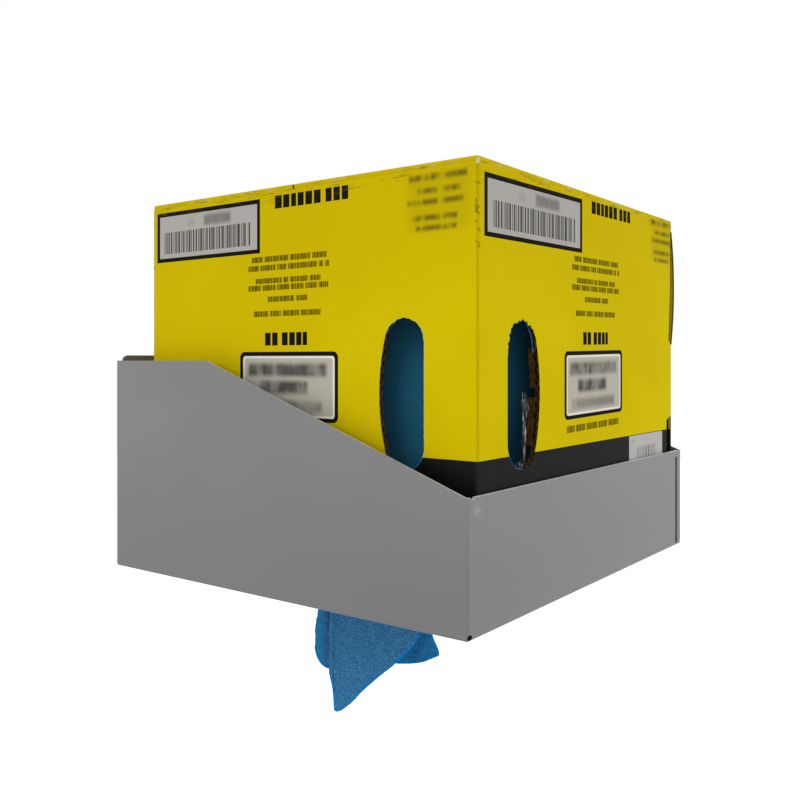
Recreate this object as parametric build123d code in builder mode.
from build123d import *
import os

# Rag box dispenser: a folded sheet steel tray that hangs on a wall, with an upside-down
# carton of shop towels standing in it and one towel pulled down through the floor.
# Millimetres. The wall is the plane Y = 0 and the tray stands out towards -Y. The origin is
# the middle of the four wall holes, +X is the right-hand side and +Z is up.

os.makedirs("parts", exist_ok=True)

# Towel roll
roll_diameter = 280.0
roll_length = 254.0
core_diameter = 76.0
turn_groove_width = 1.6
turn_groove_depth = 0.8

# Carton
board = 3.5
roll_clearance = 2.5  # between the roll and each wall
lid_clearance = 0.5  # between the roll and the upper flaps
carton_shift = 0.5  # the carton stands this far right of the tray's middle
fold_radius = 1.6  # outside of the carton's vertical folds
flap_fold_radius = 1.5
flap_crease = 1.4  # bevel of the folds that lie on the tray's floor
flap_gap = 1.6  # between the meeting edges of two flaps
flap_inset = 1.2  # how far the outer flaps' ends lie in from the carton's sides
pull_opening_diameter = 120.0  # in the flaps that lie on the tray's floor

# Hand holes, one in the left wall and one in the front wall, beside their shared fold
hand_hole_height = 92.0
hand_hole_drop = 1.6  # their middle lies this far below the carton's
left_hole_inset = 37.9
left_hole_width = 34.1
front_hole_inset = 31.6
front_hole_width = 38.8
hand_hole_straight = 0.64  # the straight side's length, as a share of the height
hand_hole_crown = 0.42  # where the hole is highest, as a share of the width
hand_hole_shoulder = 0.87  # where the bulging side begins, as a share of the width
hand_hole_shoulder_rise = 0.74  # and as a share of half the height
torn_board = 1.7
upper_tab = (3.0, 28.0, 3.5)  # lowest and highest point from the hole's middle, and how
lower_tab = (-33.0, -3.0, 5.0)  # far the torn board reaches in behind the front wall

# Split corner of the carton, at its front right fold
split_bottom = 167.0  # heights above the tray's underside
split_top = 261.0
split_retreat = 6.5  # how far the front wall's torn edge draws back
split_bow = 6.0  # how far the right wall springs out
split_flush = 0.05  # and how far at the split's far end
split_length = 70.0  # along the right wall
split_step = 3.0  # height over which a torn edge draws back
lower_split_bottom = 58.0
lower_split_top = 108.0
lower_split_retreat = 11.0

# Film, the torn open wrap of the roll, bunched in the lower part of the front hand hole
film_thickness = 5.0
film_inset = 27.8  # from the hole's straight side
film_width = 6.0
film_height = 46.0  # above the hole's lower end
film_overlap = 5.0  # how far it lies behind the hole's lower lip
film_foot_height = 9.0  # of the stretch that lies along the lip
film_foot_length = 18.0
film_round = 2.5

# Sticker
sticker_inset = 21.0  # from the carton's right side
sticker_width = 65.0
sticker_height = 38.0
sticker_top = 97.0  # above the tray's underside
sticker_thickness = 0.2

# Tray sheet and bends
sheet = 1.5
bend_inside = 0.6
bend_outside = bend_inside + sheet

# Tray outline
side_clearance = 12.5  # between the tray's sides and a carton in its middle
front_clearance = 1.5  # between the tray's front panel and the carton
back_clearance = 23.5  # between the tray's back panel and the carton
front_height = 78.5
side_height = 154.0
side_level = 103.0  # level stretch of each side's top edge, from the wall forwards
back_rise = 4.0  # how far the back panel stands above the sides
back_end_gap = 5.2  # from the tray's outer side to the end of the raised back panel
back_height = side_height + back_rise

# Front corners: each side ends in a narrow flange folded into the front's plane
flange_width = 8.6
seam_slot = 4.0  # the open seam between the right flange and the front panel
seam_weld = 4.8  # weld that closes the seam at its top end
corner_notch_inset = 5.0  # from the tray's outer side to the notch's middle
corner_notch_width = 3.0
corner_notch_depth = 1.4
relief_diameter = 3.2  # bend relief through each bottom corner
relief_height = 2.3
relief_inset = 1.8  # from the tray's outer side

# Tray holes
floor_hole_diameter = 150.0
wall_hole_diameter = 7.0
wall_hole_spacing_x = 254.0
wall_hole_spacing_z = 76.0
wall_hole_height = 95.0  # from the tray's underside to the middle of the hole pattern

# Hanging towel
towel_thickness = 2.0
towel_folds = (
    (38.0, -7.0),
    (-34.5, -10.0),
    (-34.5, -1.0),
    (-47.2, 1.0),
    (-47.2, 13.5),
    (51.0, 4.0),
)  # its folds seen from above, across and behind its hanging middle
towel_fold_radius = 3.0
front_hem = ((-36.0, -88.0), (-32.6, -100.3), (-31.0, -119.8), (-24.5, -118.2), (15.7, -84.7), (38.0, -61.0))
back_hem = ((-48.2, -75.0), (-45.7, -82.5), (-36.0, -92.0), (16.0, -89.5), (29.7, -91.2), (51.5, -84.2))
hem_split = -1.0  # the folds in front of here end at the front hem, the others at the back hem
towel_seat = 0.3  # between the gathered towel and the wall of the roll's core
towel_in_core = 200.0  # how far the towel reaches up, from the tray's underside
towel_hang_x = -40.0  # its hanging middle from the roll's axis, across and behind
towel_hang_y = 7.0
towel_across = (0.644, -0.765)  # direction in which the hanging towel spreads
gather = 0.34  # the towel's spread in the core, as a share of its hanging spread
full_spread_height = -45.0  # where it hangs at its full spread

# Sizes and places that follow from those above: the carton is made to the roll, and the
# tray to the carton
flaps = 2 * board
carton_width = roll_diameter + 2 * (roll_clearance + board)
carton_depth = carton_width
carton_height = roll_length + lid_clearance + 2 * flaps
tray_width = carton_width + 2 * (side_clearance + sheet)
tray_depth = carton_depth + front_clearance + back_clearance + 2 * sheet
underside = -wall_hole_height
tray_middle = -tray_depth / 2
front_top = underside + front_height
side_top = underside + side_height
back_top = underside + back_height
carton_bottom = underside + sheet
carton_top = carton_bottom + carton_height
carton_front = -tray_depth + sheet + front_clearance
carton_middle = carton_front + carton_depth / 2
carton_axis = (carton_shift, carton_middle)
carton_left = carton_shift - carton_width / 2
carton_right = carton_shift + carton_width / 2
roll_bottom = carton_bottom + flaps
hand_hole_middle = carton_bottom + carton_height / 2 - hand_hole_drop
front_hole_left = carton_left + front_hole_inset
margin = 1.0  # how far a cutting shape runs past what it cuts


# The tray

# The space inside the folded sheet
with BuildPart() as tray_space:
    with BuildSketch(Plane.XY.offset(underside + sheet)):
        with Locations((0, tray_middle)):
            RectangleRounded(tray_width - 2 * sheet, tray_depth - 2 * sheet, bend_inside)
    extrude(amount=back_height)
    fillet(tray_space.faces().sort_by(Axis.Z)[0].edges(), radius=bend_inside)

with BuildPart() as dispenser_tray:
    with BuildSketch(Plane.XY.offset(underside)):
        with Locations((0, tray_middle)):
            RectangleRounded(tray_width, tray_depth, bend_outside)
    extrude(amount=back_height)
    fillet(dispenser_tray.faces().sort_by(Axis.Z)[0].edges(), radius=bend_outside)
    add(tray_space.part, mode=Mode.SUBTRACT)

    # Sides: level near the wall, then sloping down to the low front panel
    with BuildSketch(Plane.YZ):
        with BuildLine():
            Polyline(
                (-tray_depth - margin, front_top),
                (-tray_depth, front_top),
                (-side_level, side_top),
                (-sheet, side_top),
                (-sheet, back_top + margin),
                (-tray_depth - margin, back_top + margin),
                close=True,
            )
        make_face()
    extrude(amount=tray_width, both=True, mode=Mode.SUBTRACT)

    # Back panel: its raised middle part has a rounded end near each side
    raised_end = tray_width / 2 - back_end_gap
    with BuildSketch(Plane.XZ):
        with BuildLine():
            beside = Polyline(
                (raised_end, side_top),
                (tray_width / 2 + margin, side_top),
                (tray_width / 2 + margin, back_top + margin),
                (raised_end - back_rise, back_top + margin),
                (raised_end - back_rise, back_top),
            )
            TangentArc(beside @ 1, beside @ 0, tangent=(1, 0))
        make_face()
        mirror(about=Plane.YZ)
    extrude(amount=tray_depth, both=True, mode=Mode.SUBTRACT)

    # Front panel: an open seam beside the right flange, and a small notch over each corner
    slot_height = front_height - seam_weld - bend_outside
    notch_middle = tray_width / 2 - corner_notch_inset
    with BuildSketch(Plane.XZ.offset(tray_depth)):
        with Locations((tray_width / 2 - flange_width - seam_slot / 2, underside + bend_outside)):
            Rectangle(seam_slot, slot_height, align=(Align.CENTER, Align.MIN))
        for side in (-1, 1):
            with BuildLine():
                Polyline(
                    (side * (notch_middle - corner_notch_width / 2), front_top + margin),
                    (side * (notch_middle - corner_notch_width / 2), front_top),
                    (side * notch_middle, front_top - corner_notch_depth),
                    (side * (notch_middle + corner_notch_width / 2), front_top),
                    (side * (notch_middle + corner_notch_width / 2), front_top + margin),
                    close=True,
                )
            make_face()
    extrude(amount=-sheet, mode=Mode.SUBTRACT)

    # Floor hole, which the towel is pulled through
    with BuildSketch(Plane.XY.offset(underside)):
        with Locations((0, tray_middle)):
            Circle(floor_hole_diameter / 2)
    extrude(amount=sheet, mode=Mode.SUBTRACT)

    # Wall holes
    with BuildSketch(Plane.XZ):
        with GridLocations(wall_hole_spacing_x, wall_hole_spacing_z, 2, 2):
            Circle(wall_hole_diameter / 2)
    extrude(amount=sheet, mode=Mode.SUBTRACT)

    # Bend reliefs, where three bends would meet
    for x_side in (-1, 1):
        for y_side in (-1, 1):
            corner = Vector(
                x_side * (tray_width / 2 - relief_inset),
                tray_middle + y_side * tray_depth / 2,
                underside + relief_height,
            )
            with BuildSketch(Plane(origin=corner, z_dir=(x_side, y_side, 0))):
                Circle(relief_diameter / 2)
            extrude(amount=2 * bend_outside, both=True, mode=Mode.SUBTRACT)

dispenser_tray.part.label = "dispenser_tray"


# The carton


def hand_hole(width):
    """A tall hole with one straight side, which bulges away from that side."""
    half = hand_hole_height / 2
    straight = hand_hole_straight * half
    crown = hand_hole_crown * width
    shoulder = (hand_hole_shoulder * width, hand_hole_shoulder_rise * half)
    low_shoulder = (hand_hole_shoulder * width, -hand_hole_shoulder_rise * half)
    with BuildSketch() as outline:
        with BuildLine():
            Line((0, -straight), (0, straight))
            ThreePointArc((0, straight), (crown, half), shoulder)
            ThreePointArc(shoulder, (width, 0), low_shoulder)
            ThreePointArc(low_shoulder, (crown, -half), (0, -straight))
        make_face()
    return outline.sketch


def torn_edge(low, high, low_run, high_run, end, retreat):
    """The area that is torn off the front wall's right edge between two heights."""
    with BuildSketch() as outline:
        with BuildLine():
            Polyline(
                (end, low),
                (carton_right - retreat, low + low_run),
                (carton_right - retreat, high - high_run),
                (end, high),
                close=True,
            )
        make_face()
    return outline.sketch


# The right wall's board where it springs out at the split corner
split_low = underside + split_bottom
split_high = underside + split_top
split_middle = (split_low + split_high) / 2
board_inside = carton_right - board
with BuildPart() as sprung_board:
    for bow, back in ((split_bow, 0.0), (split_flush, split_length)):
        with BuildSketch(Plane.XZ.offset(-carton_front - back)):
            with BuildLine():
                Line((board_inside, split_low), (carton_right, split_low))
                ThreePointArc(
                    (carton_right, split_low),
                    (carton_right + bow, split_middle),
                    (carton_right, split_high),
                )
                Line((carton_right, split_high), (board_inside, split_high))
                ThreePointArc(
                    (board_inside, split_high),
                    (board_inside + bow, split_middle),
                    (board_inside, split_low),
                )
            make_face()
    loft()

with BuildPart() as carton:
    # Walls, with the two layers of flaps that close each end
    with BuildSketch(Plane.XY.offset(carton_bottom)):
        with Locations(carton_axis):
            RectangleRounded(carton_width, carton_depth, fold_radius)
    extrude(amount=carton_height)
    fillet(carton.faces().sort_by(Axis.Z)[-1].edges(), radius=flap_fold_radius)
    chamfer(carton.faces().sort_by(Axis.Z)[0].edges(), length=flap_crease)
    with BuildSketch(Plane.XY.offset(roll_bottom)):
        with Locations(carton_axis):
            Rectangle(carton_width - 2 * board, carton_depth - 2 * board)
    extrude(amount=carton_height - 2 * flaps, mode=Mode.SUBTRACT)

    # Outer flaps: their edges meet along X, and their ends lie a little in from the sides
    for level in (carton_bottom, carton_top - board):
        with BuildSketch(Plane.XY.offset(level)):
            with Locations(carton_axis):
                Rectangle(carton_width, flap_gap)
                with Locations((-(carton_width - flap_inset) / 2, 0), ((carton_width - flap_inset) / 2, 0)):
                    Rectangle(flap_inset, carton_depth)
        extrude(amount=board, mode=Mode.SUBTRACT)

    # Inner flaps: their edges meet along Y
    for level in (carton_bottom + board, carton_top - flaps):
        with BuildSketch(Plane.XY.offset(level)):
            with Locations(carton_axis):
                Rectangle(flap_gap, carton_depth - 2 * board)
        extrude(amount=board, mode=Mode.SUBTRACT)

    # Pull opening
    with BuildSketch(Plane.XY.offset(carton_bottom)):
        with Locations(carton_axis):
            Circle(pull_opening_diameter / 2)
    extrude(amount=flaps, mode=Mode.SUBTRACT)

    # Hand holes
    with BuildSketch(Plane.YZ.offset(carton_left)):
        with Locations((carton_front + left_hole_inset, hand_hole_middle)):
            add(hand_hole(left_hole_width))
    extrude(amount=board, mode=Mode.SUBTRACT)
    with BuildSketch(Plane.XZ.offset(-carton_front)):
        with Locations((front_hole_left, hand_hole_middle)):
            add(hand_hole(front_hole_width))
    extrude(amount=-board, mode=Mode.SUBTRACT)

    # What is left of the pushed-in tab, in two pieces along the front hole's bulging side
    bulge = (1 - hand_hole_shoulder) * front_hole_width
    bulge_half = hand_hole_shoulder_rise * hand_hole_height / 2
    bulge_radius = (bulge_half**2 + bulge**2) / (2 * bulge)
    for low, high, reach in (upper_tab, lower_tab):
        low_x, high_x = [
            front_hole_left + front_hole_width - bulge_radius + (bulge_radius**2 - rise**2) ** 0.5
            for rise in (low, high)
        ]
        with BuildSketch(Plane.XZ.offset(-carton_front - board / 2)):
            with BuildLine():
                Polyline(
                    (low_x, hand_hole_middle + low),
                    (low_x + torn_board, hand_hole_middle + low),
                    (high_x + torn_board, hand_hole_middle + high),
                    (high_x, hand_hole_middle + high),
                    close=True,
                )
            make_face()
        extrude(amount=-(board / 2 + reach))

    # Split corner: the front wall's edge is torn back in two places, and beside the upper
    # one the right wall's board has sprung outwards
    with BuildSketch(Plane.XZ.offset(-carton_front)):
        split_taper = split_high - split_low - 2 * split_step
        add(torn_edge(split_low, split_high, split_step, split_taper, carton_right, split_retreat))
        add(
            torn_edge(
                underside + lower_split_bottom,
                underside + lower_split_top,
                2 * split_step,
                split_step,
                board_inside,
                lower_split_retreat,
            )
        )
    extrude(amount=-board, mode=Mode.SUBTRACT)
    with BuildSketch(Plane.YZ.offset(board_inside)):
        with Locations((carton_front, split_low)):
            Rectangle(split_length, split_high - split_low, align=(Align.MIN, Align.MIN))
    extrude(amount=board, mode=Mode.SUBTRACT)
    add(sprung_board.part)

carton.part.label = "carton"


# What the carton holds

# Towel roll: one long strip of towels, wound on itself round an open core
with BuildPart() as towel_roll:
    with BuildSketch(Plane.XY.offset(roll_bottom)):
        with Locations(carton_axis):
            Circle(roll_diameter / 2)
            Circle(core_diameter / 2, mode=Mode.SUBTRACT)
    extrude(amount=roll_length)

    # A groove between two turns, where the end face shows in the pull opening
    groove_diameter = (core_diameter + pull_opening_diameter) / 2
    with BuildSketch(Plane.XY.offset(roll_bottom)):
        with Locations(carton_axis):
            Circle(groove_diameter / 2)
            Circle(groove_diameter / 2 - turn_groove_width, mode=Mode.SUBTRACT)
    extrude(amount=turn_groove_depth, mode=Mode.SUBTRACT)

towel_roll.part.label = "towel_roll"

# Hanging towel: a sheet in zigzag folds, gathered in the core and spread below the tray.
# Its own axes are "across", along its spread, and "behind", at a right angle to it.
across = Vector(*towel_across, 0).normalized()
behind = Vector(-across.Y, across.X, 0)
roll_axis = Vector(*carton_axis, 0)


with BuildSketch() as folded_towel:
    with BuildLine():
        fold_line = FilletPolyline(*towel_folds, radius=towel_fold_radius)
    trace(fold_line, line_width=towel_thickness)


def towel_section(level, spread, across_middle, behind_middle):
    """The folded towel cut level at a height over the tray's underside."""
    middle = roll_axis + across * across_middle + behind * behind_middle
    plane = Plane(
        origin=(middle.X, middle.Y, underside + level), x_dir=(across.X, across.Y, 0), z_dir=(0, 0, 1)
    )
    with BuildSketch(plane) as section:
        add(folded_towel.sketch)
        scale(by=spread)
    return section.sketch


# The gathered towel's outermost fold lies beside the wall of the core
fold_reach = (max(-x for x, y in towel_folds) + towel_thickness / 2) * gather
fold_depth = max(y for x, y in towel_folds) * gather
core_place = fold_reach - ((core_diameter / 2 - towel_seat) ** 2 - fold_depth**2) ** 0.5
lowest = min(z for x, z in front_hem)
with BuildPart() as hanging_towel:
    add(towel_section(lowest, 1.0, towel_hang_x, towel_hang_y))
    add(towel_section(full_spread_height, 1.0, towel_hang_x, towel_hang_y))
    add(towel_section(sheet + flaps, gather, core_place, 0))
    add(towel_section(towel_in_core, gather, core_place, 0))
    loft(ruled=True)

    # Hems: what hangs lower than each hem line is cut away
    hang = roll_axis + across * towel_hang_x + behind * towel_hang_y
    for hem, reach in ((front_hem, 1), (back_hem, -1)):
        hem_place = hang + behind * hem_split
        hem_plane = Plane(
            origin=(hem_place.X, hem_place.Y, underside), x_dir=(across.X, across.Y, 0), z_dir=-behind
        )
        wide = 2 * hem[-1][0]
        with BuildSketch(hem_plane):
            with BuildLine():
                Polyline(
                    (-wide, lowest - margin),
                    (-wide, hem[0][1]),
                    *hem,
                    (wide, hem[-1][1]),
                    (wide, lowest - margin),
                    close=True,
                )
            make_face()
        extrude(amount=reach * wide, mode=Mode.SUBTRACT)

hanging_towel.part.label = "hanging_towel"

# Film: a bunched strip behind the front wall, with a foot along the hole's lower lip
film_low = hand_hole_middle - hand_hole_height / 2 - film_overlap
with BuildPart() as roll_film:
    with BuildSketch(Plane.XZ.offset(-carton_front - board)):
        with Locations((front_hole_left + film_inset, film_low)):
            Rectangle(film_width, film_height + film_overlap, align=(Align.MIN, Align.MIN))
            Rectangle(film_foot_length, film_foot_height, align=(Align.MAX, Align.MIN))
        fillet(vertices(), radius=film_round)
    extrude(amount=-film_thickness)

roll_film.part.label = "roll_film"


# Sticker on the carton's front, partly behind the tray's front panel
with BuildPart() as carton_sticker:
    with BuildSketch(Plane.XZ.offset(-carton_front)):
        with Locations((carton_right - sticker_inset, underside + sticker_top)):
            Rectangle(sticker_width, sticker_height, align=(Align.MAX, Align.MAX))
    extrude(amount=sticker_thickness)

carton_sticker.part.label = "carton_sticker"


export_step(dispenser_tray.part, "parts/dispenser_tray.step")
export_step(carton.part, "parts/carton.step")
export_step(towel_roll.part, "parts/towel_roll.step")
export_step(hanging_towel.part, "parts/hanging_towel.step")
export_step(roll_film.part, "parts/roll_film.step")
export_step(carton_sticker.part, "parts/carton_sticker.step")
